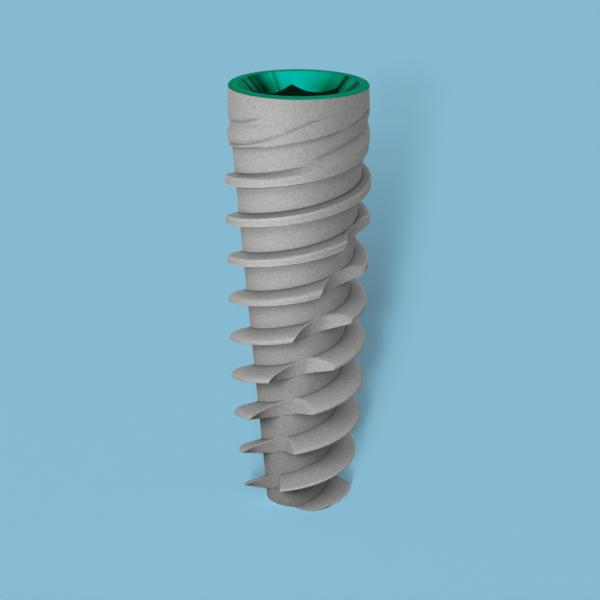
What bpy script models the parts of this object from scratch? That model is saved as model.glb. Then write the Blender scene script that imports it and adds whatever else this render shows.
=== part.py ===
# Tapered self-tapping dental implant with an internal hexagon
#
# The object is one solid piece of titanium. A conical core carries two identical
# helical threads. Each thread is broad and shallow at the neck, and deep and sharp
# at the tip, because the core tapers faster than the envelope of the crests and
# the flat of the crest narrows on the way down. Two steep flutes cut through the
# lower threads. The platform on top is faced flat, with a lead-in cone, a hexagon
# socket and a bore for the retaining screw.
#
# The origin is at the centre of the flat tip, +Z points to the platform, and
# the photographed side looks along -Y.

import math

import bmesh
import bpy
from mathutils import Matrix, Vector

MM = 0.001

# Body
LENGTH = 13.0 * MM
PLATFORM_DIAMETER = 4.1 * MM
PLATFORM_BEVEL = 0.05 * MM
COLLAR_DIAMETER = 4.156 * MM
COLLAR_DROP = 0.83 * MM
COLLAR_SHOULDER = 0.25 * MM
CORE_TIP_DIAMETER = 1.84 * MM
CORE_NECK_DROP = 0.65 * MM

# Envelope of the thread crests
THREAD_DIAMETER = 4.284 * MM
FULL_THREAD_DROP = 3.7 * MM
TIP_TAPER_HEIGHT = 3.4 * MM
TIP_TAPER_DIAMETER = 4.01 * MM
THREAD_TIP_DIAMETER = 3.21 * MM
TIP_FACE_DIAMETER = 2.66 * MM
TIP_CHAMFER_HEIGHT = 0.28 * MM

# Thread form
THREAD_STARTS = 2
THREAD_PITCH = 1.223 * MM
THREAD_REFERENCE_DROP = 2.874 * MM
THREAD_REFERENCE_ANGLE = math.radians(180.0)
NECK_CREST_WIDTH = 0.26 * MM
TIP_CREST_WIDTH = 0.02 * MM
NECK_UPPER_FLANK = math.radians(15.0)
TIP_UPPER_FLANK = math.radians(23.0)
NECK_LOWER_FLANK = math.radians(12.0)
TIP_LOWER_FLANK = math.radians(8.0)
ROOT_SINK = 0.12 * MM
FOOT_SINK = 0.03 * MM
NECK_GROOVE_SLOPE = math.radians(31.0)

# Cutting flutes
FLUTE_COUNT = 2
FLUTE_REFERENCE_HEIGHT = 5.742 * MM
FLUTE_REFERENCE_ANGLE = math.radians(265.2)
FLUTE_LEAD = 23.3 * MM
FLUTE_TOP_HEIGHT = 9.5 * MM
FLUTE_RUN_OUT = 0.9 * MM
FLUTE_FLOOR_GAP = 0.01 * MM
FLUTE_CORNER_WIDTH = 0.50 * MM
FLUTE_CORNER_REACH = 0.80 * MM
FLUTE_REACH_LIMIT = 0.8
FLUTE_FACE_RELIEF = 0.02 * MM
FLUTE_FLOOR_WIDTH = 0.75 * MM
FLUTE_WIDTH = 1.52 * MM

# Connection
SOCKET_MOUTH_DIAMETER = 3.53 * MM
HEX_ACROSS_FLATS = 2.5 * MM
HEX_DEPTH = 2.1 * MM
HEX_TURN = math.radians(8.5)
LEAD_IN_ANGLE = math.radians(45.0)
GUIDE_BORE_DIAMETER = 1.95 * MM
GUIDE_BORE_DEPTH = 2.7 * MM
SCREW_BORE_DIAMETER = 1.5 * MM
SCREW_BORE_DEPTH = 6.6 * MM
DRILL_POINT_ANGLE = math.radians(118.0)

# Mesh resolution
SEGMENTS = 44
FLUTE_STATION_STEP = 0.35 * MM
FLUTE_CORNER_STEPS = 4
FLUTE_FLOOR_STEPS = 2
SHARP_EDGE_ANGLE = math.radians(30.0)
CUTTER_OVERLAP = 0.4 * MM
CUTTER_CLEARANCE = 0.05 * MM
MERGE_DISTANCE = 1e-7


# Helpers that turn dimensions into the forms of the implant

def lerp(start, end, share):
    return start + (end - start) * share


def interpolate(stations, position):
    """Read a piecewise linear rule given as (position, values) stations."""
    if position <= stations[0][0]:
        return stations[0][1]
    for (low, before), (high, after) in zip(stations, stations[1:]):
        if position <= high:
            share = (position - low) / (high - low)
            return tuple(lerp(a, b, share) for a, b in zip(before, after))
    return stations[-1][1]


def core_radius(height):
    """The core is one straight cone that reaches the platform diameter at the neck."""
    neck = LENGTH - CORE_NECK_DROP
    share = min(height / neck, 1.0)
    return lerp(CORE_TIP_DIAMETER, PLATFORM_DIAMETER, share) / 2


def crest_radius(height):
    """Two cones: a slight taper over the body and a stronger one at the tip."""
    full = LENGTH - FULL_THREAD_DROP
    if height >= full:
        return THREAD_DIAMETER / 2
    if height >= TIP_TAPER_HEIGHT:
        share = (height - TIP_TAPER_HEIGHT) / (full - TIP_TAPER_HEIGHT)
        return lerp(TIP_TAPER_DIAMETER, THREAD_DIAMETER, share) / 2
    share = height / TIP_TAPER_HEIGHT
    return lerp(THREAD_TIP_DIAMETER, TIP_TAPER_DIAMETER, share) / 2


def remove_scene_objects():
    for item in list(bpy.data.objects):
        bpy.data.objects.remove(item, do_unlink=True)


def make_collection(name):
    collection = bpy.data.collections.new(name)
    bpy.context.scene.collection.children.link(collection)
    return collection


def make_material(name, colour, roughness, metallic):
    material = bpy.data.materials.new(name)
    material.use_nodes = True
    shader = material.node_tree.nodes["Principled BSDF"]
    shader.inputs["Base Color"].default_value = (*colour, 1.0)
    shader.inputs["Roughness"].default_value = roughness
    shader.inputs["Metallic"].default_value = metallic
    material.diffuse_color = (*colour, 1.0)
    return material


def turned(name, profile, facet_turn, collection, material):
    """Revolve a profile of (radius, height) points, from the top axis point down.

    The facets are turned by a share of one segment, so that the edges of one
    solid never run along those of another.
    """
    mesh = bpy.data.meshes.new(name)
    shape = bmesh.new()
    points = [shape.verts.new((radius, 0.0, height)) for radius, height in profile]
    for upper, lower in zip(points, points[1:]):
        shape.edges.new((upper, lower))
    shape.to_mesh(mesh)
    shape.free()
    mesh.materials.append(material)
    item = bpy.data.objects.new(name, mesh)
    item.rotation_euler.z = math.tau / SEGMENTS * facet_turn
    collection.objects.link(item)
    screw = item.modifiers.new("Turn", "SCREW")
    screw.axis = "Z"
    screw.angle = math.tau
    screw.steps = SEGMENTS
    screw.render_steps = SEGMENTS
    screw.use_merge_vertices = True
    screw.merge_threshold = MERGE_DISTANCE
    return item


def lofted(name, sections, collection, material):
    """Skin a row of closed sections of equal length into one solid with two caps."""
    mesh = bpy.data.meshes.new(name)
    shape = bmesh.new()
    rings = [[shape.verts.new(point) for point in section] for section in sections]
    count = len(rings[0])
    for ring, following in zip(rings, rings[1:]):
        for index in range(count):
            after = (index + 1) % count
            shape.faces.new((ring[index], ring[after], following[after], following[index]))
    for ring in (rings[0], rings[-1]):
        centre = sum((corner.co for corner in ring), Vector()) / count
        hub = shape.verts.new(centre)
        for index in range(count):
            shape.faces.new((ring[index], ring[(index + 1) % count], hub))
    bmesh.ops.triangulate(shape, faces=shape.faces)
    bmesh.ops.recalc_face_normals(shape, faces=shape.faces)
    shape.to_mesh(mesh)
    shape.free()
    mesh.materials.append(material)
    item = bpy.data.objects.new(name, mesh)
    collection.objects.link(item)
    return item


def combine(target, tool, operation):
    modifier = target.modifiers.new(tool.name, "BOOLEAN")
    modifier.operation = operation
    modifier.object = tool
    modifier.solver = "EXACT"
    modifier.material_mode = "TRANSFER"
    tool.hide_render = True
    tool.display_type = "WIRE"
    return modifier


def smooth_by_angle(item, angle):
    """Shade the faces smooth and keep every edge that is sharper than the angle."""
    group = bpy.data.node_groups.new("smooth_by_angle", "GeometryNodeTree")
    group.interface.new_socket("Mesh", in_out="INPUT", socket_type="NodeSocketGeometry")
    group.interface.new_socket("Mesh", in_out="OUTPUT", socket_type="NodeSocketGeometry")
    source = group.nodes.new("NodeGroupInput")
    edge_angle = group.nodes.new("GeometryNodeInputMeshEdgeAngle")
    gentle = group.nodes.new("FunctionNodeCompare")
    gentle.operation = "LESS_THAN"
    gentle.inputs["B"].default_value = angle
    faces = group.nodes.new("GeometryNodeSetShadeSmooth")
    faces.domain = "FACE"
    edges = group.nodes.new("GeometryNodeSetShadeSmooth")
    edges.domain = "EDGE"
    result = group.nodes.new("NodeGroupOutput")
    group.links.new(source.outputs["Mesh"], faces.inputs["Geometry"])
    group.links.new(faces.outputs["Geometry"], edges.inputs["Geometry"])
    group.links.new(edge_angle.outputs["Unsigned Angle"], gentle.inputs["A"])
    group.links.new(gentle.outputs["Result"], edges.inputs["Shade Smooth"])
    group.links.new(edges.outputs["Geometry"], result.inputs["Mesh"])
    modifier = item.modifiers.new("Smooth by angle", "NODES")
    modifier.node_group = group
    return modifier


# The thread, a ridge whose section changes all along its helix

# Above the last full turn the ridge fades into the collar. Each station names the
# angle past the reference turn and, as (height from the crest centre, depth below
# the thread diameter), the lower crest corner, the upper crest corner and the foot
# of the upper slope.
NECK_FADE = (
    (0.0, (-0.130, 0.000, 0.130, 0.000, 0.230, 0.370)),
    (35.0, (-0.156, 0.002, 0.110, 0.002, 0.260, 0.340)),
    (70.0, (-0.180, 0.006, 0.075, 0.006, 0.290, 0.310)),
    (92.0, (-0.195, 0.012, 0.055, 0.012, 0.310, 0.270)),
    (106.0, (-0.205, 0.022, 0.085, 0.022, 0.534, 0.255)),
    (120.0, (-0.215, 0.035, 0.110, 0.028, 0.574, 0.230)),
    (145.0, (-0.215, 0.060, 0.155, 0.037, 0.650, 0.200)),
    (180.0, (-0.195, 0.085, 0.230, 0.050, 0.660, 0.170)),
    (205.0, (-0.210, 0.075, 0.270, 0.052, 0.660, 0.150)),
    (245.0, (-0.240, 0.068, 0.340, 0.060, 0.640, 0.140)),
    (300.0, (-0.226, 0.072, 0.420, 0.090, 0.560, 0.140)),
    (345.0, (-0.090, 0.100, 0.200, 0.115, 0.300, 0.160)),
)

# Three fine grooves follow the fading ridge: one splits its broad crest, one marks the
# foot of its upper slope, and one undercuts its lower edge at the collar. Each station
# names the angle, the height from the crest centre and the depth below the thread
# diameter.
NECK_GROOVES = {
    "crest_groove": (
        (160.0, (-0.120, 0.040)),
        (180.0, (-0.080, 0.132)),
        (205.0, (-0.110, 0.122)),
        (235.0, (-0.056, 0.105)),
        (256.0, (0.060, 0.092)),
        (280.0, (0.290, 0.092)),
        (300.0, (0.320, 0.075)),
    ),
    "slope_groove": (
        (100.0, (0.380, 0.190)),
        (108.0, (0.410, 0.215)),
        (120.0, (0.450, 0.208)),
        (142.0, (0.520, 0.188)),
        (165.0, (0.535, 0.162)),
        (180.0, (0.545, 0.145)),
        (205.0, (0.555, 0.126)),
        (225.0, (0.580, 0.112)),
        (245.0, (0.640, 0.060)),
    ),
    "edge_groove": (
        (270.0, (-0.350, 0.070)),
        (285.0, (-0.325, 0.115)),
        (300.0, (-0.300, 0.128)),
        (320.0, (-0.240, 0.120)),
        (340.0, (-0.170, 0.105)),
        (358.0, (-0.110, 0.065)),
    ),
}


def crest_height(angle):
    reference = LENGTH - THREAD_REFERENCE_DROP
    return reference + THREAD_PITCH * THREAD_STARTS * angle / math.tau


def around(angle, corners):
    """Place (radius, height) corners at an angle past the reference turn."""
    turn = THREAD_REFERENCE_ANGLE + angle
    direction = Vector((math.cos(turn), math.sin(turn), 0.0))
    return [direction * radius + Vector((0.0, 0.0, height)) for radius, height in corners]


def body_section(height):
    """Corners of the full thread as (radius, height)."""
    share = min(max(height / (LENGTH - THREAD_REFERENCE_DROP), 0.0), 1.0)
    half_width = lerp(TIP_CREST_WIDTH, NECK_CREST_WIDTH, share) / 2
    upper = math.tan(lerp(TIP_UPPER_FLANK, NECK_UPPER_FLANK, share))
    lower = math.tan(lerp(TIP_LOWER_FLANK, NECK_LOWER_FLANK, share))
    crest = crest_radius(height)
    inner = core_radius(height) - ROOT_SINK
    foot = core_radius(height) - FOOT_SINK
    return [
        (inner, height - half_width - (crest - inner) * lower),
        (crest, height - half_width),
        (crest, height + half_width),
        (foot, height + half_width + (crest - foot) * upper),
        (inner, height + half_width + (crest - inner) * upper),
    ]


def neck_section(height, angle):
    """Corners of the fading thread, read from the neck stations."""
    values = [value * MM for value in interpolate(NECK_FADE, math.degrees(angle))]
    low, low_depth, high, high_depth, foot, foot_depth = values
    outer = THREAD_DIAMETER / 2
    inner = core_radius(height) - ROOT_SINK
    lower = math.tan(NECK_LOWER_FLANK)
    foot_radius = min(outer - foot_depth, core_radius(height + foot) - FOOT_SINK)
    return [
        (inner, height + low - (outer - low_depth - inner) * lower),
        (outer - low_depth, height + low),
        (outer - high_depth, height + high),
        (foot_radius, height + foot),
        (inner, height + foot),
    ]


def thread_section(angle):
    height = crest_height(angle)
    full = angle <= 0.0
    return around(angle, body_section(height) if full else neck_section(height, angle))


def make_thread(name, collection, material):
    step = math.tau / SEGMENTS
    lead = THREAD_PITCH * THREAD_STARTS
    climb = LENGTH - THREAD_REFERENCE_DROP + THREAD_PITCH / 2
    first = -math.ceil(climb / lead * SEGMENTS)
    last = round(math.radians(NECK_FADE[-1][0]) / step)
    sections = [thread_section(index * step) for index in range(first, last + 1)]
    return lofted(name, sections, collection, material)


def groove_section(stations, angle):
    rise, depth = (value * MM for value in interpolate(stations, math.degrees(angle)))
    height = crest_height(angle) + rise
    outer = THREAD_DIAMETER / 2 + 2 * CUTTER_CLEARANCE
    floor = THREAD_DIAMETER / 2 - depth
    half = (outer - floor) / math.tan(NECK_GROOVE_SLOPE)
    return around(angle, [(floor, height), (outer, height - half), (outer, height + half)])


def make_neck_groove(name, stations, collection, material):
    first, last = (math.radians(stations[index][0]) for index in (0, -1))
    count = round((last - first) / math.tau * SEGMENTS)
    angles = [lerp(first, last, index / count) for index in range(count + 1)]
    sections = [groove_section(stations, angle) for angle in angles]
    return lofted(name, sections, collection, material)


# The flute, a steep groove with a radial face that ends at the core

def flute_section(height):
    """Section of the cutter across the axis, in the plane of its own height.

    The cutting face is radial. A rounded corner leads to the core, the floor
    follows the core, and a flat relief runs out to the crest.
    """
    floor = core_radius(max(height, 0.0)) + FLUTE_FLOOR_GAP
    crest = crest_radius(max(height, 0.0))
    start = FLUTE_TOP_HEIGHT - FLUTE_RUN_OUT
    if height > start:
        share = (height - start) / FLUTE_RUN_OUT
        rise = crest - floor + 2 * CUTTER_CLEARANCE
        floor += rise * (1 - math.sqrt(max(1 - share * share, 0.0)))
        crest = max(crest, floor + CUTTER_CLEARANCE)
    outside = THREAD_DIAMETER / 2 + 2 * CUTTER_OVERLAP
    reach = min(FLUTE_CORNER_REACH, (outside - floor) * FLUTE_REACH_LIMIT)
    points = [(outside, -FLUTE_FACE_RELIEF)]
    for index in range(FLUTE_CORNER_STEPS + 1):
        bend = math.pi / 2 * index / FLUTE_CORNER_STEPS
        radius = floor + reach * (1 - math.sin(bend))
        angle = FLUTE_CORNER_WIDTH * (1 - math.cos(bend)) / radius
        points.append((radius * math.cos(angle), radius * math.sin(angle)))
    first = FLUTE_CORNER_WIDTH / floor
    last = math.asin(FLUTE_FLOOR_WIDTH / floor)
    for index in range(1, FLUTE_FLOOR_STEPS + 1):
        angle = lerp(first, last, index / FLUTE_FLOOR_STEPS)
        points.append((floor * math.cos(angle), floor * math.sin(angle)))
    corner = Vector((math.sqrt(crest ** 2 - FLUTE_WIDTH ** 2), FLUTE_WIDTH))
    relief = corner - Vector(points[-1])
    points.append(tuple(corner + relief))
    points.append((outside, (corner + relief).y))
    turn = FLUTE_REFERENCE_ANGLE
    turn += math.tau * (height - FLUTE_REFERENCE_HEIGHT) / FLUTE_LEAD
    rotation = Matrix.Rotation(turn, 3, "Z")
    return [rotation @ Vector((x, y, height)) for x, y in points]


def make_flute(name, collection, material):
    bottom = -CUTTER_OVERLAP
    count = math.ceil((FLUTE_TOP_HEIGHT - bottom) / FLUTE_STATION_STEP)
    step = (FLUTE_TOP_HEIGHT - bottom) / count
    sections = [flute_section(bottom + index * step) for index in range(count + 1)]
    return lofted(name, sections, collection, material)


# Model

remove_scene_objects()
implant = make_collection("dental_implant")
cutters = make_collection("cutters")

blasted = make_material("blasted_titanium", (0.33, 0.33, 0.325), 0.55, 0.85)
anodised = make_material("green_anodised_titanium", (0.0, 0.32, 0.19), 0.25, 0.9)

# Core blank with the collar, a little too long so that it can be faced

blank_top = LENGTH + CUTTER_OVERLAP
shoulder = LENGTH - COLLAR_DROP - COLLAR_SHOULDER
body = turned(
    "implant_body",
    [
        (0.0, blank_top),
        (PLATFORM_DIAMETER / 2, blank_top),
        (PLATFORM_DIAMETER / 2, LENGTH),
        (COLLAR_DIAMETER / 2, LENGTH - COLLAR_DROP),
        (core_radius(shoulder), shoulder),
        (core_radius(-CUTTER_OVERLAP), -CUTTER_OVERLAP),
        (0.0, -CUTTER_OVERLAP),
    ],
    facet_turn=0.5,
    collection=implant,
    material=blasted,
)

# Threads, one per start

for start in range(THREAD_STARTS):
    thread = make_thread(f"thread_{start + 1}", cutters, blasted)
    thread.rotation_euler.z = math.tau * start / THREAD_STARTS
    combine(body, thread, "UNION")
    for name, stations in NECK_GROOVES.items():
        groove = make_neck_groove(f"{name}_{start + 1}", stations, cutters, blasted)
        groove.rotation_euler.z = math.tau * start / THREAD_STARTS
        combine(body, groove, "DIFFERENCE")

# Flutes

for index in range(FLUTE_COUNT):
    flute = make_flute(f"flute_{index + 1}", cutters, blasted)
    flute.rotation_euler.z = math.tau * index / FLUTE_COUNT
    combine(body, flute, "DIFFERENCE")

# Platform face with its bevel

facing_radius = THREAD_DIAMETER / 2 + CUTTER_OVERLAP
facing = turned(
    "facing",
    [
        (0.0, blank_top + CUTTER_OVERLAP),
        (facing_radius, blank_top + CUTTER_OVERLAP),
        (facing_radius, LENGTH - PLATFORM_BEVEL - (facing_radius - PLATFORM_DIAMETER / 2)),
        (PLATFORM_DIAMETER / 2 - PLATFORM_BEVEL, LENGTH),
        (0.0, LENGTH),
    ],
    facet_turn=0.3,
    collection=cutters,
    material=anodised,
)
combine(body, facing, "DIFFERENCE")

# Lead-in cone and bores, one turned cutter

mouth = SOCKET_MOUTH_DIAMETER / 2
guide = GUIDE_BORE_DIAMETER / 2
screw_bore = SCREW_BORE_DIAMETER / 2
cone_slope = 1 / math.tan(LEAD_IN_ANGLE)
point_length = screw_bore / math.tan(DRILL_POINT_ANGLE / 2)
bore = turned(
    "socket_bore",
    [
        (0.0, blank_top),
        (mouth + (blank_top - LENGTH) / cone_slope, blank_top),
        (guide, LENGTH - (mouth - guide) * cone_slope),
        (guide, LENGTH - GUIDE_BORE_DEPTH),
        (screw_bore, LENGTH - GUIDE_BORE_DEPTH - (guide - screw_bore)),
        (screw_bore, LENGTH - SCREW_BORE_DEPTH),
        (0.0, LENGTH - SCREW_BORE_DEPTH - point_length),
    ],
    facet_turn=0.8,
    collection=cutters,
    material=anodised,
)
combine(body, bore, "DIFFERENCE")

# Hexagon socket, a straight prism below the cone

hex_corner = HEX_ACROSS_FLATS / 2 / math.cos(math.pi / 6)
hex_top = LENGTH - (mouth - hex_corner) * cone_slope / 2
hex_bottom = LENGTH - HEX_DEPTH
bpy.ops.mesh.primitive_cylinder_add(
    vertices=6,
    radius=hex_corner,
    depth=hex_top - hex_bottom,
    location=(0.0, 0.0, (hex_top + hex_bottom) / 2),
    rotation=(0.0, 0.0, HEX_TURN),
)
hexagon = bpy.context.object
hexagon.name = "hexagon"
hexagon.data.name = "hexagon"
hexagon.data.materials.append(anodised)
for owner in list(hexagon.users_collection):
    owner.objects.unlink(hexagon)
cutters.objects.link(hexagon)
combine(body, hexagon, "DIFFERENCE")

# The tip is cut flat, with the last turns of the threads chamfered

limit_radius = THREAD_DIAMETER / 2 + CUTTER_OVERLAP
tip_limit = turned(
    "tip_limit",
    [
        (0.0, blank_top + CUTTER_OVERLAP),
        (limit_radius, blank_top + CUTTER_OVERLAP),
        (limit_radius, TIP_TAPER_HEIGHT),
        (THREAD_TIP_DIAMETER / 2 + CUTTER_CLEARANCE, TIP_CHAMFER_HEIGHT),
        (TIP_FACE_DIAMETER / 2, 0.0),
        (0.0, 0.0),
    ],
    facet_turn=0.65,
    collection=cutters,
    material=blasted,
)
combine(body, tip_limit, "INTERSECT")

# Round surfaces shade smooth, and the edges of the machining stay crisp

smooth_by_angle(body, SHARP_EDGE_ANGLE)
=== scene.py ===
# %% [markdown]
# # A dental implant, dressed in its finishes
#
# A dental implant is a small titanium screw that replaces the root of a tooth. This one is
# 13 mm long. Its core is a cone, two identical threads wind around it, two steep flutes let
# the lower threads cut, and the top holds a green anodised hexagon for the abutment.
# The lesson builds the visible surface of the screw, gives it a blasted and an anodised
# finish, and lights it as in a catalogue picture.

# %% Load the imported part
import math

import bmesh
import bpy
import numpy as np
from mathutils import Matrix, Vector


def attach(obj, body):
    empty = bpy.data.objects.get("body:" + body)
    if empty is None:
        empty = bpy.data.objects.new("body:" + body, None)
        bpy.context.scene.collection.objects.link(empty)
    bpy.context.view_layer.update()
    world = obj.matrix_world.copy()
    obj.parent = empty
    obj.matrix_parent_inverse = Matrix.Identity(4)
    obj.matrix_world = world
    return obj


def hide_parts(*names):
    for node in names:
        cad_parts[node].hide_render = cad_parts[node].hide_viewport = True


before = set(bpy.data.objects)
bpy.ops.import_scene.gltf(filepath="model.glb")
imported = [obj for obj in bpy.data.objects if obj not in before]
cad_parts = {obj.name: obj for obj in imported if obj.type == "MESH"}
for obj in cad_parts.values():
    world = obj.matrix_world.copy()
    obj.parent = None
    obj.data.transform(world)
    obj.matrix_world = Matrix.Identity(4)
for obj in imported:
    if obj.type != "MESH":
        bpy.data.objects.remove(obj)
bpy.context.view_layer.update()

# %% [markdown]
# The real blank is turned on a lathe. Its shape is known from a few diameters, so each
# surface is written as a rule: give it a height and it answers with a radius. All rules use
# millimetres, and the finished mesh is scaled to metres once. `np.interp` reads a polyline,
# which is how a lathe profile is drawn.

# %% Dimensions of the blank in millimetres
LENGTH = 13.0
PLATFORM_RADIUS = 2.05
COLLAR_RADIUS = 2.078
COLLAR_HEIGHT = LENGTH - 0.83
SHOULDER_HEIGHT = COLLAR_HEIGHT - 0.25
CORE_TIP_RADIUS = 0.92
CORE_NECK_HEIGHT = LENGTH - 0.65
RIM_BEVEL = 0.045
CREST_HEIGHT = [0.0, 3.4, 9.3]
CREST_RADIUS = [1.605, 2.005, 2.142]


def between(ends, share):
    """The value at a share of the way from the first of two ends to the second."""
    return ends[0] + (ends[1] - ends[0]) * share


def cone_radius(height):
    share = np.clip(height / CORE_NECK_HEIGHT, -0.1, 1.0)
    return CORE_TIP_RADIUS + (PLATFORM_RADIUS - CORE_TIP_RADIUS) * share


def blank_radius(height):
    shoulder = float(cone_radius(np.array(SHOULDER_HEIGHT)))
    heights = [SHOULDER_HEIGHT, COLLAR_HEIGHT, LENGTH + 1.0]
    radii = [shoulder, COLLAR_RADIUS, PLATFORM_RADIUS - 0.03]
    collar = np.interp(height, heights, radii)
    return np.where(height < SHOULDER_HEIGHT, cone_radius(height), collar)


def crest_radius(height):
    return np.interp(height, CREST_HEIGHT, CREST_RADIUS)


print("core at the tip", cone_radius(np.array(0.0)), "mm")

# %% [markdown]
# Where a thread meets the core the cutter leaves a small fillet, and no real edge is
# perfectly sharp. A plain maximum or minimum of two surfaces would give knife edges, so
# both are blended over a few hundredths of a millimetre. The blend is a polynomial that
# touches the two surfaces smoothly.

# %% Soft joins between surfaces


def soft_min(a, b, width):
    share = np.clip(0.5 + 0.5 * (b - a) / width, 0.0, 1.0)
    return b + (a - b) * share - width * share * (1.0 - share)


def soft_max(a, b, width):
    return -soft_min(-a, -b, width)


print("soft maximum of 1 and 1:", soft_max(np.array(1.0), np.array(1.0), 0.04))

# %% [markdown]
# The two threads are one rule. A turn angle counts degrees along the thread past a reference
# turn at the neck, and the second thread is the same curve half a turn on. Below the
# reference the ridge has a flat crest that narrows to an edge at the tip. Above it the ridge
# fades into the collar, and three fine grooves follow it. Those stations were read from the
# photograph, as (turn angle, height from the crest centre, depth below the thread diameter).

# %% Thread rule
PITCH = 1.223
THREAD_RADIUS = 2.142
REFERENCE_HEIGHT = LENGTH - 2.874
REFERENCE_ANGLE = 180.0
# The fillet at the root is tighter at the neck than further down.
ROOT_HEIGHT = [7.5, 9.5]
ROOT_FILLET = [0.045, 0.022]
CREST_ROUND = 0.025
# At the tip the ridge is a thin blade. At the neck it has a flat crest. Each pair holds the
# value at the tip and the one at the neck: a width in millimetres, or the lean of a flank.
CREST_WIDTH = (0.02, 0.26)
UPPER_FLANK = (23.0, 15.0)
LOWER_FLANK = (8.0, 12.0)
# The nose of the ridge is crisp at the neck and well rounded over the lower turns.
NOSE_HEIGHT = [0.5, 2.0, 4.0, 5.5, 6.8, 8.0, 9.5]
NOSE_UPPER_ROUND = [0.04, 0.12, 0.24, 0.26, 0.20, 0.09, 0.03]
NOSE_LOWER_ROUND = [0.03, 0.06, 0.12, 0.12, 0.09, 0.05, 0.03]

FADE_ANGLE = [0, 35, 70, 92, 106, 120, 145, 180, 205, 245, 300, 345]
FADE_LOW = [-0.13, -0.156, -0.18, -0.195, -0.205, -0.215]
FADE_LOW += [-0.215, -0.195, -0.21, -0.24, -0.226, -0.09]
FADE_LOW_DEPTH = [0, 0.002, 0.006, 0.012, 0.022, 0.035, 0.06, 0.085, 0.075, 0.068, 0.072, 0.1]
FADE_HIGH = [0.13, 0.11, 0.075, 0.055, 0.085, 0.11, 0.155, 0.23, 0.27, 0.34, 0.42, 0.2]
FADE_HIGH_DEPTH = [0, 0.002, 0.006, 0.012, 0.022, 0.028, 0.037, 0.05, 0.052, 0.06, 0.09, 0.115]
FADE_FOOT = [0.23, 0.245, 0.265, 0.30, 0.534, 0.574, 0.65, 0.66, 0.66, 0.64, 0.56, 0.3]
FADE_FOOT_DEPTH = [0.37, 0.34, 0.31, 0.27, 0.255, 0.23, 0.2, 0.17, 0.15, 0.14, 0.14, 0.16]
# The turn angle where the ridge has run out.
FADE_END = 350.0


def full_ridge(offset, height):
    """Radius of the full thread at an offset above its crest centre."""
    share = np.clip(height / REFERENCE_HEIGHT, 0.0, 1.0)
    half = 0.5 * between(CREST_WIDTH, share)
    upper = np.tan(np.radians(between(UPPER_FLANK, share)))
    lower = np.tan(np.radians(between(LOWER_FLANK, share)))
    crest = crest_radius(height)
    below = crest + (offset + half) / lower
    above = crest - (offset - half) / upper
    upper_round = np.interp(height, NOSE_HEIGHT, NOSE_UPPER_ROUND)
    lower_round = np.interp(height, NOSE_HEIGHT, NOSE_LOWER_ROUND)
    return soft_min(soft_min(above, crest, upper_round), below, lower_round)


def fading_ridge(offset, turn):
    """Radius of the ridge where it fades into the collar."""
    low = np.interp(turn, FADE_ANGLE, FADE_LOW)
    low_radius = THREAD_RADIUS - np.interp(turn, FADE_ANGLE, FADE_LOW_DEPTH)
    high = np.interp(turn, FADE_ANGLE, FADE_HIGH)
    high_radius = THREAD_RADIUS - np.interp(turn, FADE_ANGLE, FADE_HIGH_DEPTH)
    foot = np.interp(turn, FADE_ANGLE, FADE_FOOT)
    foot_radius = THREAD_RADIUS - np.interp(turn, FADE_ANGLE, FADE_FOOT_DEPTH)
    below = low_radius + (offset - low) / math.tan(math.radians(LOWER_FLANK[1]))
    crest = low_radius + (offset - low) * (high_radius - low_radius) / (high - low)
    above = high_radius + (offset - high) * (foot_radius - high_radius) / (foot - high)
    return soft_min(soft_min(below, crest, CREST_ROUND), above, CREST_ROUND)


def ridge_radius(turn, height):
    """Radius of one thread turn, whatever part of the thread it belongs to."""
    offset = height - (REFERENCE_HEIGHT + PITCH * turn / 180.0)
    ridge = np.where(turn <= 0.0, full_ridge(offset, height), fading_ridge(offset, turn))
    return np.where(turn > FADE_END, 0.0, ridge)


print("thread lead", 2 * PITCH, "mm")

# %% [markdown]
# The neck of the real implant has fine grooves that hold the gum and the bone. Each follows
# the fading thread, so it is given like the thread: a turn angle, a height from the crest
# centre and a depth. A groove is a limit on the radius, a rounded valley with two slopes.

# %% Fine grooves of the neck
GROOVE_SLOPE = 0.6
GROOVE_ROUND = 0.012
# A radius well outside the implant, where nothing limits it.
NO_LIMIT = 9.0
GROOVES = {
    "crest": (
        [160, 180, 205, 235, 256, 280, 300],
        [-0.12, -0.08, -0.11, -0.056, 0.06, 0.29, 0.32],
        [0.04, 0.132, 0.122, 0.105, 0.092, 0.092, 0.075],
    ),
    "slope": (
        [100, 108, 120, 142, 165, 180, 205, 225, 245],
        [0.38, 0.41, 0.45, 0.52, 0.535, 0.545, 0.555, 0.58, 0.64],
        [0.19, 0.215, 0.208, 0.188, 0.162, 0.145, 0.126, 0.112, 0.06],
    ),
    "edge": (
        [270, 285, 300, 320, 340, 358],
        [-0.35, -0.325, -0.3, -0.24, -0.17, -0.11],
        [0.07, 0.115, 0.128, 0.12, 0.105, 0.065],
    ),
}


def groove_limit(turn, height):
    """Largest radius that the grooves leave at a place."""
    offset = height - (REFERENCE_HEIGHT + PITCH * turn / 180.0)
    limit = np.full_like(height, NO_LIMIT)
    for angles, rises, depths in GROOVES.values():
        rise = np.interp(turn, angles, rises)
        floor = THREAD_RADIUS - np.interp(turn, angles, depths)
        side = np.sqrt((offset - rise) ** 2 + GROOVE_ROUND**2) - GROOVE_ROUND
        cut = floor + GROOVE_SLOPE * side
        inside = (turn >= angles[0]) & (turn <= angles[-1])
        limit = np.where(inside, np.minimum(limit, cut), limit)
    return limit


print("neck grooves:", ", ".join(GROOVES))

# %% [markdown]
# A flute is ground with a formed wheel that runs steeply down the thread. Across the axis
# its section has a nearly radial cutting face, a rounded corner, a floor that follows the
# core and a flat relief that runs out at the crest. The section is given around the axis:
# for an angle past the cutting face it answers with the radius that is left.

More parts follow.
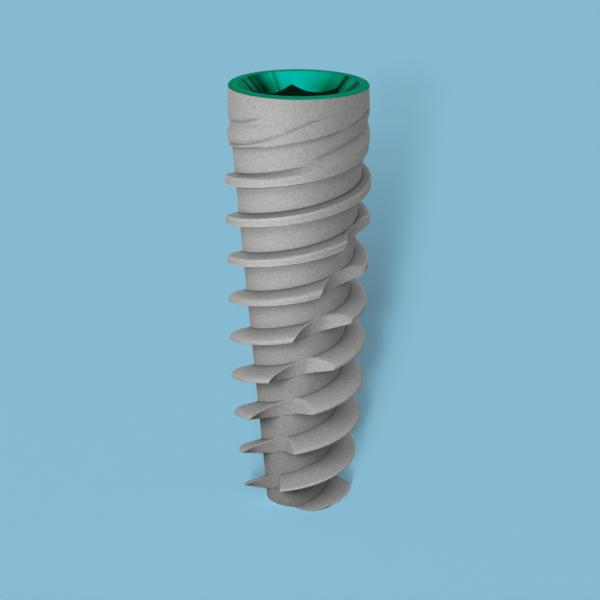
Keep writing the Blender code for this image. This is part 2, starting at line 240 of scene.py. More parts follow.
# %% Flute rule
FLUTE_LEAD = 23.3
FLUTE_HEIGHT = 5.742
FLUTE_ANGLE = 265.2
FLUTE_TOP = 9.5
FLUTE_RUN_OUT = 0.9
FLUTE_SPAN = 110.0
CORNER_REACH = 0.8
CORNER_WIDTH = 0.5
RELIEF_START = 0.75
RELIEF_BLEND = 0.12
SETTLE_ROUNDS = 12
RELIEF_HEIGHT = [0.8, 2.1, 3.5, 4.8, 6.1]
RELIEF_WIDTH = [1.51, 1.57, 1.62, 1.585, 1.54]


def flute_limit(past, height):
    """Largest radius that a flute leaves, `past` degrees behind its cutting face."""
    floor = cone_radius(np.maximum(height, 0.0)) + 0.01
    crest = crest_radius(np.maximum(height, 0.0))
    share = np.clip((height - FLUTE_TOP + FLUTE_RUN_OUT) / FLUTE_RUN_OUT, 0.0, 1.0)
    floor = floor + (crest - floor + 0.1) * (1.0 - np.sqrt(1.0 - share**2))
    angle = np.radians(past)
    reach = np.minimum(CORNER_REACH, (3.0 - floor) * 0.8)
    corner = floor + reach
    for _ in range(SETTLE_ROUNDS):
        bend = np.clip(1.0 - angle * corner / CORNER_WIDTH, 0.0, 1.0)
        corner = 0.5 * corner + 0.5 * (floor + reach * (1.0 - np.sqrt(1.0 - bend**2)))
    start = np.arcsin(np.clip(RELIEF_START / floor, -1.0, 1.0))
    first_x, first_y = floor * np.cos(start), floor * np.sin(start)
    wide = np.interp(height, RELIEF_HEIGHT, RELIEF_WIDTH)
    last_x = np.sqrt(np.maximum(crest**2 - wide**2, 0.0))
    along_x, along_y = last_x - first_x, wide - first_y
    across = np.cos(angle) * along_y - np.sin(angle) * along_x
    plane = (first_x * along_y - first_y * along_x) / np.maximum(across, 0.02)
    plane = np.where(across > 0.02, plane, NO_LIMIT)
    relief = soft_max(plane, floor, RELIEF_BLEND)
    limit = np.where(angle < start * 0.8, corner, relief)
    limit = np.where((past < 0.0) | (past > FLUTE_SPAN), NO_LIMIT, limit)
    return np.where(height > FLUTE_TOP, NO_LIMIT, limit)


print("flute lead", FLUTE_LEAD, "mm")

# %% [markdown]
# The rules meet in one function that answers with the finished outer radius. The threads add
# to the blank, the grooves and flutes take away, and last the tip is turned to its chamfer.

# %% Outer surface of the implant
EDGE_ROUND = 0.01
RELIEF_EDGE_ANGLE = [25.0, 45.0, 70.0]
RELIEF_EDGE_ROUND = [0.012, 0.07, 0.07]
TIP_HEIGHT = [0.0, 0.28, 3.4, 20.0]
TIP_RADIUS = [1.33, 1.655, 2.54, 2.54]


def outer_radius(angle, height):
    radius = blank_radius(height)
    base = (angle - REFERENCE_ANGLE) % 180.0
    nearest = np.round((height - REFERENCE_HEIGHT) / PITCH - base / 180.0)
    limit = np.full_like(height, NO_LIMIT)
    fillet = np.interp(height, ROOT_HEIGHT, ROOT_FILLET)
    for step in (-1, 0, 1):
        turn = base + 180.0 * (nearest + step)
        radius = soft_max(radius, ridge_radius(turn, height), fillet)
        limit = np.minimum(limit, groove_limit(turn, height))
    radius = soft_min(radius, limit, EDGE_ROUND)
    twist = 360.0 * (height - FLUTE_HEIGHT) / FLUTE_LEAD
    past = (angle - FLUTE_ANGLE - twist + 20.0) % 180.0 - 20.0
    edge_round = np.interp(past, RELIEF_EDGE_ANGLE, RELIEF_EDGE_ROUND)
    radius = soft_min(radius, flute_limit(past, height), edge_round)
    return soft_min(radius, np.interp(height, TIP_HEIGHT, TIP_RADIUS), EDGE_ROUND)


print("outer radius at mid height", outer_radius(np.array(0.0), np.array(6.5)), "mm")

# %% [markdown]
# A mesh shows a crisp edge only where an edge of the mesh lies on it. The threads and the
# flutes are both helices, so the net of this mesh is woven from two families of helices:
# rows follow the threads and columns follow the flutes. Rows crowd at the flanks of the
# ridge, and columns crowd at the cutting faces. The net is a little too long at both ends and
# is cut off at the tip and the platform.

# %% Rows and columns of the net
# A row is named by a zone of the ridge and a share of that zone, from the root below the
# ridge over both edges of the crest to the next root.
ROW_ZONES = (
    [(0, share) for share in (0.0, 0.12, 0.3, 0.5, 0.7, 0.86, 0.95)]
    + [(1, share) for share in (0.0, 0.08, 0.3, 0.5, 0.7, 0.92)]
    + [(2, share) for share in (0.0, 0.06, 0.16, 0.3, 0.45, 0.6, 0.75, 0.88, 0.96)]
    + [(3, share) for share in (0.0, 0.02, 0.05)]
    + [(3, share) for share in np.linspace(0.09, 0.96, 19)]
    + [(3, 0.985)]
)
COLUMN_ANGLES = np.array(
    [-0.35, 0.1, 0.45, 0.9, 1.6, 2.5, 3.6, 5.0, 6.6, 8.5, 10.6, 13.0, 15.5, 18.0, 20.5, 23.0]
    + list(np.arange(25.5, 44.0, 2.5))
    + list(np.arange(45.0, 68.0, 1.25))
    + list(np.arange(70.0, 178.0, 2.5))
)
LEAD = 2 * PITCH
TURNS = np.arange(-10, 2)


def zone_offset(zone, share, height):
    """Height of a row above the crest centre of its turn."""
    part = np.clip(height / REFERENCE_HEIGHT, 0.0, 1.0)
    half = 0.5 * between(CREST_WIDTH, part)
    rise = np.maximum(crest_radius(height) - cone_radius(height), 0.02)
    low_root = -half - rise * np.tan(np.radians(between(LOWER_FLANK, part)))
    high_root = half + rise * np.tan(np.radians(between(UPPER_FLANK, part)))
    marks = [low_root, -half, half, high_root, low_root + PITCH]
    low = np.choose(zone, [mark + 0 * height for mark in marks[:4]])
    high = np.choose(zone, [mark + 0 * height for mark in marks[1:]])
    return low + (high - low) * share


def weave():
    """Angles and heights of the net, and the rows that one lead of the thread takes."""
    columns = FLUTE_ANGLE - 360.0 * FLUTE_HEIGHT / FLUTE_LEAD
    columns = columns + np.concatenate([COLUMN_ANGLES, COLUMN_ANGLES + 180.0])
    count = len(ROW_ZONES)
    turns = np.repeat(TURNS, count)[:, None]
    zone = np.tile([zone for zone, _ in ROW_ZONES], len(TURNS))[:, None]
    zone = zone + 0 * columns.astype(int)
    share = np.tile([share for _, share in ROW_ZONES], len(TURNS))[:, None]
    start = REFERENCE_HEIGHT - LEAD * REFERENCE_ANGLE / 360.0 + LEAD * columns / 360.0
    height = start + turns * PITCH
    for _ in range(SETTLE_ROUNDS):
        offset = zone_offset(zone, share, height)
        height = (start + turns * PITCH + offset) / (1.0 - LEAD / FLUTE_LEAD)
    return columns + 360.0 * height / FLUTE_LEAD, height, 2 * count


net_angle, net_height, rows_per_lead = weave()
print("net", net_angle.shape, "from", net_height[0].max(), "to", net_height[-1].min())

# %% [markdown]
# Light reaches less into the roots of a thread than onto its crests, so the finish paints shade
# there,
# most of all just under a ridge. How deep a place sits is measured along the axis, on each side:
# the angle by which the next ridge rises above the place's own surface. Both angles are kept on
# the mesh as attributes, for the painted shade in the finish to use.

# %% Measure the hollows
REACHES = (0.03, 0.06, 0.1, 0.16, 0.24, 0.34, 0.46)
REACH_END = 0.62
SLOPE_STEP = 0.012


def closed_in(angle, height, side):
    """How far a place is closed in by what is above it (side 1) or below it (side -1)."""
    radius = outer_radius(angle, height)
    slope = outer_radius(angle, height + SLOPE_STEP) - outer_radius(angle, height - SLOPE_STEP)
    own = np.arctan(side * slope / (2 * SLOPE_STEP))
    highest = own
    for reach in REACHES:
        horizon = np.arctan2(outer_radius(angle, height + side * reach) - radius, reach)
        highest = np.maximum(highest, own + (horizon - own) * (1.0 - reach / REACH_END))
    return np.sin(np.clip(highest - own, 0.0, math.pi / 2))


under_mask = closed_in(net_angle, net_height, 1.0)
over_mask = closed_in(net_angle, net_height, -1.0)
print("mean closed in from above", round(float(under_mask.mean()), 3))
print("mean closed in from below", round(float(over_mask.mean()), 3))

# %% [markdown]
# Two more painted marks sit on the edges: a painted highlight on an edge that sticks out, and
# painted shade in a sharp inner corner. Both follow from how much the surface bends, which is
# read from its radius on both sides of a place, along the axis and around it. A value above zero
# is an inner corner, below zero an outer edge.

# %% Measure the bends
BEND_REACH = 0.025


def bend(angle, height):
    """Bend of the surface over a small reach, from -1 on a sharp edge to 1 in a corner."""
    radius = outer_radius(angle, height)
    turn = np.degrees(BEND_REACH / radius)
    along = outer_radius(angle, height + BEND_REACH) + outer_radius(angle, height - BEND_REACH)
    around = outer_radius(angle + turn, height) + outer_radius(angle - turn, height)
    along = np.arctan((along - 2.0 * radius) / BEND_REACH)
    around = np.arctan((around - 2.0 * radius) / BEND_REACH)
    strongest = np.where(np.abs(along) > np.abs(around), along, around)
    return strongest / (0.5 * math.pi)


bend_mask = bend(net_angle, net_height)
print("bends from", round(float(bend_mask.min()), 2), "to", round(float(bend_mask.max()), 2))

# %% [markdown]
# The net is wound around the screw, so its last column meets its first one a whole lead
# further up. The faces between them are made like all the others, with that shift. The three
# measures above are stored on its vertices.

# %% Mesh the outer surface
MM = 0.001


def net_mesh(name, angle, height, radius, shift):
    """Mesh a net whose last column meets its first one `shift` rows further up."""
    rows, columns = angle.shape
    points = np.stack([radius * np.cos(angle), radius * np.sin(angle), height], axis=-1)
    index = np.arange(rows * columns).reshape(rows, columns)
    inner = [index[:-1, :-1], index[:-1, 1:], index[1:, 1:], index[1:, :-1]]
    quads = np.stack([part.ravel() for part in inner], axis=1)
    last = rows - shift
    seam = [index[: last - 1, -1], index[shift:-1, 0], index[shift + 1 :, 0], index[1:last, -1]]
    quads = np.concatenate([quads, np.stack(seam, axis=1)])
    mesh = bpy.data.meshes.new(name)
    mesh.from_pydata((points.reshape(-1, 3) * MM).tolist(), [], quads.tolist())
    return mesh


def trim(mesh, height, keep_above):
    """Cut the mesh flat at a height and drop what lies beyond."""
    work = bmesh.new()
    work.from_mesh(mesh)
    geometry = work.verts[:] + work.edges[:] + work.faces[:]
    bmesh.ops.bisect_plane(
        work,
        geom=geometry,
        dist=1e-8,
        plane_co=(0.0, 0.0, height * MM),
        plane_no=(0.0, 0.0, 1.0),
        clear_inner=keep_above,
        clear_outer=not keep_above,
    )
    loose = [vert for vert in work.verts if not vert.link_faces]
    bmesh.ops.delete(work, geom=loose, context="VERTS")
    work.to_mesh(mesh)
    work.free()


radius = outer_radius(net_angle, net_height)
body_mesh = net_mesh("implant_surface", np.radians(net_angle), net_height, radius, rows_per_lead)
for label, mask in (("under", under_mask), ("over", over_mask), ("bend", bend_mask)):
    layer = body_mesh.attributes.new(label, "FLOAT", "POINT")
    layer.data.foreach_set("value", mask.ravel().astype(np.float32))
trim(body_mesh, 0.0, True)
trim(body_mesh, LENGTH - RIM_BEVEL, False)
print("outer surface", len(body_mesh.polygons), "faces")

# %% [markdown]
# The cut at the tip leaves one open ring, the outline of the flat end. One face closes it.
# Edges that turn by more than 30 degrees stay crisp, and everything else is shaded smooth.

# %% Close the tip and shade the surface


def close_tip(mesh):
    """Close the ring at the tip with a fan of triangles around its centre."""
    work = bmesh.new()
    work.from_mesh(mesh)
    ring = [edge for edge in work.edges if edge.is_boundary]
    ring = [edge for edge in ring if max(vert.co.z for vert in edge.verts) < 0.1 * MM]
    centre = work.verts.new((0.0, 0.0, 0.0))
    closed = [work.faces.new((edge.verts[0], edge.verts[1], centre)) for edge in ring]
    bmesh.ops.recalc_face_normals(work, faces=work.faces)
    work.to_mesh(mesh)
    work.free()
    return len(closed)


def as_object(mesh, crisp):
    """Put a mesh into the scene as a piece of the implant, with its crisp edges kept."""
    mesh.shade_smooth()
    mesh.set_sharp_from_angle(angle=math.radians(crisp))
    item = bpy.data.objects.new(mesh.name, mesh)
    bpy.context.scene.collection.objects.link(item)
    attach(item, "root")
    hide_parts("implant_body")
    return item


print("tip faces", close_tip(body_mesh))
implant_surface = as_object(body_mesh, 30.0)

# %% [markdown]
# The connection is the inside of the same piece. It is made as its own surface, because it
# has its own finish. Every column runs down one side of the socket: over the rim, along the
# lead-in cone, down the flat of the hexagon, over the ledge and into the screw bore. The
# cone meets the hexagon in six arcs, and a row of the mesh follows them.

# %% Socket profile
MOUTH_RADIUS = 1.765
HEX_APOTHEM = 1.25
HEX_CORNER_ANGLE = 98.5
HEX_DEPTH = 2.1
GUIDE_RADIUS = 0.975
GUIDE_DEPTH = 2.7
BORE_RADIUS = 0.75
BORE_DEPTH = 6.6
INNER_THREAD_PITCH = 0.35
INNER_THREAD_DEPTH = 0.09
CONE_ROWS = (0.15, 0.35, 0.55, 0.75, 0.9, 1.0)
HEXAGON_ROWS = (0.02, 0.08, 0.25, 0.5, 0.75, 0.95, 1.0)
CORNER_STEPS = (0.0, 0.7, 2.0, 5.0, 9.0, 14.0, 19.0, 24.0)


def hexagon_radius(angle):
    past = (angle - HEX_CORNER_ANGLE) % 60.0 - 30.0
    corner = HEX_APOTHEM / math.cos(math.radians(30.0)) - 0.012
    return np.minimum(HEX_APOTHEM / np.cos(np.radians(past)), corner)


def socket_profile(angle):
    """Rows of (radius, depth below the platform) down one side of the socket."""
    hexagon = hexagon_radius(angle)
    same = np.ones_like(angle)
    outer = PLATFORM_RADIUS - 0.001
    rows = [(outer - 0.006, RIM_BEVEL + 0.03), (outer - 0.001, RIM_BEVEL - 0.002)]
    rows += [(outer - 0.012, 0.014), (outer - RIM_BEVEL, 0.0), (outer - 0.08, 0.0)]
    rows += [(1.85, 0.0), (MOUTH_RADIUS + 0.015, 0.0), (MOUTH_RADIUS, 0.006)]
    rows += [(MOUTH_RADIUS - 0.012, 0.022)]
    rows = [(radius * same, depth * same) for radius, depth in rows]
    crease = MOUTH_RADIUS - 0.01 - hexagon
    for share in CONE_ROWS:
        rows.append((MOUTH_RADIUS - 0.01 - crease * share, 0.01 + crease * share))
    top = 0.01 + crease
    for share in HEXAGON_ROWS:
        rows.append((hexagon, top + (HEX_DEPTH - top) * share))
    for radius, depth in ((1.05, HEX_DEPTH), (GUIDE_RADIUS, HEX_DEPTH + 0.02)):
        rows.append((radius * same, depth * same))
    rows.append((GUIDE_RADIUS * same, GUIDE_DEPTH * same))
    depth = GUIDE_DEPTH + GUIDE_RADIUS - BORE_RADIUS
    rows.append((BORE_RADIUS * same, depth * same))
    while depth < BORE_DEPTH - 0.1:
        depth += INNER_THREAD_PITCH / 8
        wave = np.abs(((depth / INNER_THREAD_PITCH + angle / 360.0) % 1.0) * 2.0 - 1.0)
        groove = INNER_THREAD_DEPTH * np.clip(wave * 1.3 - 0.2, 0.0, 1.0)
        rows.append((BORE_RADIUS + groove, depth * same))
    rows.append((BORE_RADIUS * same, BORE_DEPTH * same))
    rows.append((0.01 * same, (BORE_DEPTH + 0.45) * same))
    return rows


def socket_mesh():
    side = list(CORNER_STEPS) + [60.0 - step for step in CORNER_STEPS[:0:-1]] + [30.0]
    columns = np.array(sorted(set(side)))
    angle = HEX_CORNER_ANGLE + np.concatenate([columns + 60.0 * flat for flat in range(6)])
    rows = socket_profile(angle)
    radius = np.array([row[0] for row in rows])
    depth = np.array([row[1] for row in rows])
    angles = np.radians(np.broadcast_to(angle, radius.shape))
    return net_mesh("socket_surface", angles, LENGTH - depth, radius, 0)


inner_mesh = socket_mesh()
print("socket", len(inner_mesh.polygons), "faces")
socket_surface = as_object(inner_mesh, 28.0)

# %% [markdown]
# The finishes share two effects. Blasting with fine grit leaves pits of a few hundredths of
# a millimetre, and handling leaves faint patches. Each effect is a small node group, built
# once, which puts out a value between 0 and 1, and every material sets its own scale.

# %% Shared effects
GRAIN = 13000.0
COARSE_GRAIN = 6000.0
PATCHES = 1500.0


def effect_group(name, inputs, outputs):
    """Start a shader node group with named float inputs and outputs."""
    group = bpy.data.node_groups.new(name, "ShaderNodeTree")
    for label, value in inputs:
        socket = group.interface.new_socket(label, in_out="INPUT", socket_type="NodeSocketFloat")
        socket.default_value = value
    for label in outputs:
        group.interface.new_socket(label, in_out="OUTPUT", socket_type="NodeSocketFloat")
    source = group.nodes.new("NodeGroupInput")
    result = group.nodes.new("NodeGroupOutput")
    place = group.nodes.new("ShaderNodeTexCoord")
    return group, source, result, place.outputs["Object"]


def noise(group, place, scale, detail, rough):
    node = group.nodes.new("ShaderNodeTexNoise")
    node.inputs["Scale"].default_value = scale
    node.inputs["Detail"].default_value = detail
    node.inputs["Roughness"].default_value = rough
    group.links.new(place, node.inputs["Vector"])
    return node


def maths(tree, operation, first, second=0.0, third=0.0):
    """One Math node, whose inputs are numbers or sockets."""
    node = tree.nodes.new("ShaderNodeMath")
    node.operation = operation
    for socket, value in zip(node.inputs, (first, second, third)):
        if isinstance(value, bpy.types.NodeSocket):
            tree.links.new(value, socket)
        else:
            socket.default_value = value
    return node.outputs["Value"]


def blasting_group():
    """Pits of blasting grit: `Pits` is a height, `Speckle` a brightness mask."""
    group, source, result, place = effect_group(
        "grit_blasting", [("Grain per metre", GRAIN)], ["Pits", "Speckle"]
    )
    fine = noise(group, place, GRAIN, 2.0, 0.5)
    coarse = noise(group, place, COARSE_GRAIN, 2.0, 0.5)
    group.links.new(source.outputs["Grain per metre"], fine.inputs["Scale"])
    pits = maths(group, "MULTIPLY_ADD", coarse.outputs["Fac"], 0.6, fine.outputs["Fac"])
    group.links.new(pits, result.inputs["Pits"])
    spread = group.nodes.new("ShaderNodeMapRange")
    spread.inputs["From Min"].default_value = 0.35
    spread.inputs["From Max"].default_value = 0.65
    group.links.new(fine.outputs["Fac"], spread.inputs["Value"])
    group.links.new(spread.outputs["Result"], result.inputs["Speckle"])
    return group


def patch_group():
    """Soft patches of a few tenths of a millimetre."""
    group, source, result, place = effect_group(
        "soft_patches", [("Patches per metre", PATCHES)], ["Patches"]
    )
    cloud = noise(group, place, PATCHES, 2.0, 0.5)
    group.links.new(source.outputs["Patches per metre"], cloud.inputs["Scale"])
    group.links.new(cloud.outputs["Fac"], result.inputs["Patches"])
    return group


grit_blasting = blasting_group()
soft_patches = patch_group()
print("effects:", grit_blasting.name, soft_patches.name)

# %% [markdown]
# Blasted titanium is a warm mid grey that scatters light widely. The speckle changes its
# colour a little, and the pits tilt its surface through a Bump node. Then the three measures
# on the mesh paint shade and highlight into the grey: each goes through a ramp of shares,
# painted shade under and over a ridge and in a sharp inner corner, a painted highlight on an
# outer edge, and the shares are multiplied. The bend runs from -1 to 1, so it is first scaled to
# the 0 to 1 of a ramp.

# %% Blasted titanium


def new_material(name):
    material = bpy.data.materials.new(name)
    material.use_nodes = True
    return material, material.node_tree, material.node_tree.nodes["Principled BSDF"]


def group_node(tree, group):
    node = tree.nodes.new("ShaderNodeGroup")
    node.node_tree = group
    return node


def ramp(tree, value, stops):
    node = tree.nodes.new("ShaderNodeValToRGB")
    first, last = node.color_ramp.elements[0], node.color_ramp.elements[1]
    first.position, first.color = stops[0][0], (*stops[0][1], 1.0)
    last.position, last.color = stops[-1][0], (*stops[-1][1], 1.0)
    for position, colour in stops[1:-1]:
        middle = node.color_ramp.elements.new(position)
        middle.color = (*colour, 1.0)
    tree.links.new(value, node.inputs["Fac"])
    return node.outputs["Color"]


def attribute(tree, label):
    node = tree.nodes.new("ShaderNodeAttribute")
    node.attribute_name = label
    return node.outputs["Fac"]


def multiply(tree, first, second):
    mix = tree.nodes.new("ShaderNodeMix")
    mix.data_type = "RGBA"
    mix.blend_type = "MULTIPLY"
    mix.inputs["Factor"].default_value = 1.0
    tree.links.new(first, mix.inputs["A"])
    tree.links.new(second, mix.inputs["B"])
    return mix.outputs["Result"]


def bump(tree, height, distance, strength):
    node = tree.nodes.new("ShaderNodeBump")
    node.inputs["Distance"].default_value = distance
    node.inputs["Strength"].default_value = strength
    tree.links.new(height, node.inputs["Height"])
    return node.outputs["Normal"]


TITANIUM_GREYS = [
    (0.0, (0.288, 0.283, 0.277)),
    (0.5, (0.318, 0.313, 0.305)),
    (1.0, (0.348, 0.343, 0.334)),
]
# Ramps of shares: painted shade under a ridge, over a root and in a sharp inner corner, and a
# painted highlight on an outer edge.
PAINTED_SHADE_AND_HIGHLIGHT = {
    "under": [(0.0, 1.0), (0.25, 0.89), (0.5, 0.73), (1.0, 0.68)],
    "over": [(0.0, 1.0), (0.25, 0.95), (0.5, 0.91), (0.88, 0.83), (0.98, 0.35)],
    "bend": [(0.15, 1.3), (0.33, 1.05), (0.45, 1.0), (0.58, 1.0), (0.78, 0.64), (0.95, 0.45)],
}
# Each measure times the first number plus the second gives the place on its ramp.
PAINTED_SHADE_AND_HIGHLIGHT_SCALE = {"under": (1.0, 0.0), "over": (1.0, 0.0), "bend": (0.5, 0.5)}


def blasted_titanium():
    material, tree, shader = new_material("blasted_titanium")
    grit = group_node(tree, grit_blasting)
    colour = ramp(tree, grit.outputs["Speckle"], TITANIUM_GREYS)
    # Paint the shade and the highlight of the three measures into the grey.
    for label, stops in PAINTED_SHADE_AND_HIGHLIGHT.items():
        place = maths(tree, "MULTIPLY_ADD", attribute(tree, label), *PAINTED_SHADE_AND_HIGHLIGHT_SCALE[label])
        shades = [(position, (share, share, share)) for position, share in stops]
        colour = multiply(tree, colour, ramp(tree, place, shades))
    tree.links.new(colour, shader.inputs["Base Color"])
    shader.inputs["Metallic"].default_value = 0.15
    shader.inputs["Roughness"].default_value = 0.7
    pits = bump(tree, grit.outputs["Pits"], 0.02 * MM, 0.75)
    tree.links.new(pits, shader.inputs["Normal"])
    return material


titanium = blasted_titanium()
implant_surface.data.materials.append(titanium)
print("finish", titanium.name)

# %% [markdown]
# Anodising grows a clear oxide on the metal, and interference in the oxide makes the colour.
# The flat ring is matt. The cone is polished, and its colour is a painted reflection: it runs
# from bright teal at the back to dark green at the sides, with dark streaks of painted
# reflection down it. A streak is a narrow band of angle around the axis, so it is made from the
# angle of the place, and noise that is stretched down the cone breaks it up. Painted shade
# darkens the sides of the cone towards the hexagon. The hexagon and the bore are painted dark,
# as painted shade.

# %% Green anodised titanium
# Each painted reflection streak: angle of its middle from the back, half its width, and how dark
# it is.
REFLECTION_STREAKS = (
    (-71.0, 6.0, 0.5),
    (-57.0, 5.0, 0.45),
    (-50.0, 26.0, 0.3),
    (-46.0, 9.0, 0.35),
    (-26.0, 4.0, 0.3),
    (38.0, 10.0, 0.2),
    (55.0, 5.0, 0.7),
    (82.0, 7.0, 0.6),
)
# Greens of the cone, from the darkest to the brightest of its painted reflection.
CONE_GREENS = [
    (0.0, (0.0, 0.01, 0.006)),
    (0.35, (0.0, 0.09, 0.045)),
    (0.65, (0.0, 0.235, 0.127)),
    (0.85, (0.0, 0.376, 0.25)),
    (1.0, (0.0, 0.46, 0.40)),
]
RING_GREENS = [(0.3, (0.0, 0.25, 0.13)), (0.7, (0.0, 0.31, 0.165))]
# Dark greens of the hexagon and the bore, painted shade.
SHADED_DEPTH_GREENS = [(0.3, (0.0, 0.012, 0.005)), (0.7, (0.0, 0.018, 0.008))]
# The painted reflection darkens towards the sides, and would be gone this many degrees from the
# back.
REFLECTION_FADE_TO_SIDES = 260.0
# How much the painted shade takes away at the foot of the cone.
FOOT_SHADE = 0.26


def place_of(tree):
    """The place on the object, split into its three coordinates."""
    place = tree.nodes.new("ShaderNodeTexCoord")
    split = tree.nodes.new("ShaderNodeSeparateXYZ")
    tree.links.new(place.outputs["Object"], split.inputs["Vector"])
    return split.outputs


def turn_from_back(tree):
    """Angle around the axis in degrees, 0 at the back and positive to the right."""
    place = place_of(tree)
    turn = maths(tree, "ARCTAN2", place["X"], place["Y"])
    return maths(tree, "MULTIPLY", turn, 180.0 / math.pi)


def reflection_streak_mask(tree, turn):
    """Painted reflection on the cone: 1 where it is clear and lower down each streak."""
    clear = 1.0
    for middle, width, depth in REFLECTION_STREAKS:
        away = maths(tree, "ABSOLUTE", maths(tree, "SUBTRACT", turn, middle))
        ease = tree.nodes.new("ShaderNodeMapRange")
        ease.interpolation_type = "SMOOTHSTEP"
        ease.inputs["From Max"].default_value = width
        ease.inputs["To Min"].default_value = 1.0 - depth
        tree.links.new(away, ease.inputs["Value"])
        clear = maths(tree, "MULTIPLY", ease.outputs["Result"], clear)
    return clear


def fine_reflection_streaks(tree, turn):
    """Fine streaks of painted reflection down the cone, strong on both sides and gone at the
    back.
    """
    place = tree.nodes.new("ShaderNodeTexCoord")
    flat = tree.nodes.new("ShaderNodeVectorMath")
    flat.operation = "MULTIPLY"
    flat.inputs[1].default_value = (1.0, 1.0, 0.0)
    tree.links.new(place.outputs["Object"], flat.inputs[0])
    around = tree.nodes.new("ShaderNodeVectorMath")
    around.operation = "NORMALIZE"
    tree.links.new(flat.outputs["Vector"], around.inputs[0])
    streaks = noise(tree, around.outputs["Vector"], 9.0, 3.0, 0.6)
    sides = maths(tree, "MULTIPLY", maths(tree, "ABSOLUTE", turn), 1.0 / 60.0)
    sides = maths(tree, "MINIMUM", sides, 1.0)
    wave = maths(tree, "MULTIPLY_ADD", streaks.outputs["Fac"], 1.1, -0.58)
    return maths(tree, "MULTIPLY", wave, sides)


def painted_shade_at_foot(tree, turn):
    """Painted shade on the cone close to the hexagon, on both sides but not at the back."""
    deep = tree.nodes.new("ShaderNodeMapRange")
    deep.interpolation_type = "SMOOTHSTEP"
    deep.inputs["From Min"].default_value = (LENGTH - 0.1) * MM
    deep.inputs["From Max"].default_value = (LENGTH - 0.42) * MM
    deep.inputs["To Max"].default_value = FOOT_SHADE
    tree.links.new(place_of(tree)["Z"], deep.inputs["Value"])
    sides = maths(tree, "MULTIPLY", maths(tree, "ABSOLUTE", turn), 1.0 / 34.0)
    return maths(tree, "MULTIPLY", deep.outputs["Result"], maths(tree, "MINIMUM", sides, 1.0))


def anodised_ring():
    material, tree, shader = new_material("anodised_ring")
    grit = group_node(tree, grit_blasting)
    patches = group_node(tree, soft_patches)
    colour = ramp(tree, patches.outputs["Patches"], RING_GREENS)
    tree.links.new(colour, shader.inputs["Base Color"])
    shader.inputs["Metallic"].default_value = 0.25
    shader.inputs["Roughness"].default_value = 0.7
    shader.inputs["Specular IOR Level"].default_value = 0.0
    pits = bump(tree, grit.outputs["Pits"], 0.01 * MM, 0.3)
    tree.links.new(pits, shader.inputs["Normal"])
    return material


def anodised_cone():
    material, tree, shader = new_material("anodised_cone")
    patches = group_node(tree, soft_patches)
    turn = turn_from_back(tree)
    # The level of the cone is a painted reflection with random patches, less the painted shade
    # at its foot.
    clear = reflection_streak_mask(tree, turn)
    away = maths(tree, "ABSOLUTE", turn)
    side = maths(tree, "MULTIPLY_ADD", away, -1.0 / REFLECTION_FADE_TO_SIDES, 1.0)
    level = maths(tree, "MULTIPLY", clear, side)
    ripple = maths(tree, "MULTIPLY_ADD", patches.outputs["Patches"], 0.12, -0.06)
    level = maths(tree, "ADD", level, ripple)
    level = maths(tree, "ADD", level, fine_reflection_streaks(tree, turn))
    level = maths(tree, "SUBTRACT", level, painted_shade_at_foot(tree, turn))
    tree.links.new(ramp(tree, level, CONE_GREENS), shader.inputs["Base Color"])
    shader.inputs["Metallic"].default_value = 0.12
    shader.inputs["Roughness"].default_value = 0.35
    shader.inputs["Specular IOR Level"].default_value = 0.0
    return material


def anodised_shaded_depths():
    material, tree, shader = new_material("anodised_shaded_depths")
    patches = group_node(tree, soft_patches)
    # Near black: the shade in the hexagon and the bore is painted into the colour.
    colour = ramp(tree, patches.outputs["Patches"], SHADED_DEPTH_GREENS)
    tree.links.new(colour, shader.inputs["Base Color"])
    shader.inputs["Metallic"].default_value = 0.2
    shader.inputs["Roughness"].default_value = 0.6
    shader.inputs["Specular IOR Level"].default_value = 0.1
    return material


def dress_socket(item):
    """Give the ring, the cone and everything below it their own finish."""
    for material in (anodised_ring(), anodised_cone(), anodised_shaded_depths()):
        item.data.materials.append(material)
    for face in item.data.polygons:
        middle = face.center / MM
        reach = math.hypot(middle.x, middle.y)
        depth = LENGTH - middle.z
        on_cone = abs(reach + depth - MOUTH_RADIUS) < 0.03 and abs(face.normal.z) > 0.3
        if reach > MOUTH_RADIUS - 0.004:
            face.material_index = 0
        else:
            face.material_index = 1 if on_cone else 2
    return [material.name for material in item.data.materials]


print("finishes", dress_socket(socket_surface))

# %% [markdown]
# The picture has a plain pale blue ground with one soft shadow. The floor is a wide disc, so
# that it fills the frame behind the implant. Part of its blue is lit and part is given out
# only towards the camera, through Light Path, and the two always add up to the ground's
# colour. A shadow takes away the lit part, so the shadow grows weaker where that part is
# smaller, which is further back. For every other ray the floor is a dull grey.

# %% Floor
GROUND = (0.238, 0.491, 0.638)
BOUNCE_GREY = (0.10, 0.10, 0.10, 1.0)
FLOOR_RADIUS = 0.6
# The light on the floor: 0.49 from the strip of suns and 0.04 from the world, both below.
FLOOR_LIGHT = 0.53
# How far back in metres, and the share of the ground's brightness that is lit there.
SHADOW_NEAR = (0.020, 0.58)
SHADOW_FAR = (0.065, 0.31)


def shadow_share(tree):
    """Share of the ground's brightness that a shadow can take away, less further back."""
    fade = tree.nodes.new("ShaderNodeMapRange")
    fade.inputs["From Min"].default_value, fade.inputs["To Min"].default_value = SHADOW_NEAR
    fade.inputs["From Max"].default_value, fade.inputs["To Max"].default_value = SHADOW_FAR
    tree.links.new(place_of(tree)["Y"], fade.inputs["Value"])
    return fade.outputs["Result"]


def scaled(tree, colour, factor):
    """A colour times a factor that is a socket."""
    node = tree.nodes.new("ShaderNodeVectorMath")
    node.operation = "SCALE"
    node.inputs["Vector"].default_value = colour
    tree.links.new(factor, node.inputs["Scale"])
    return node.outputs["Vector"]


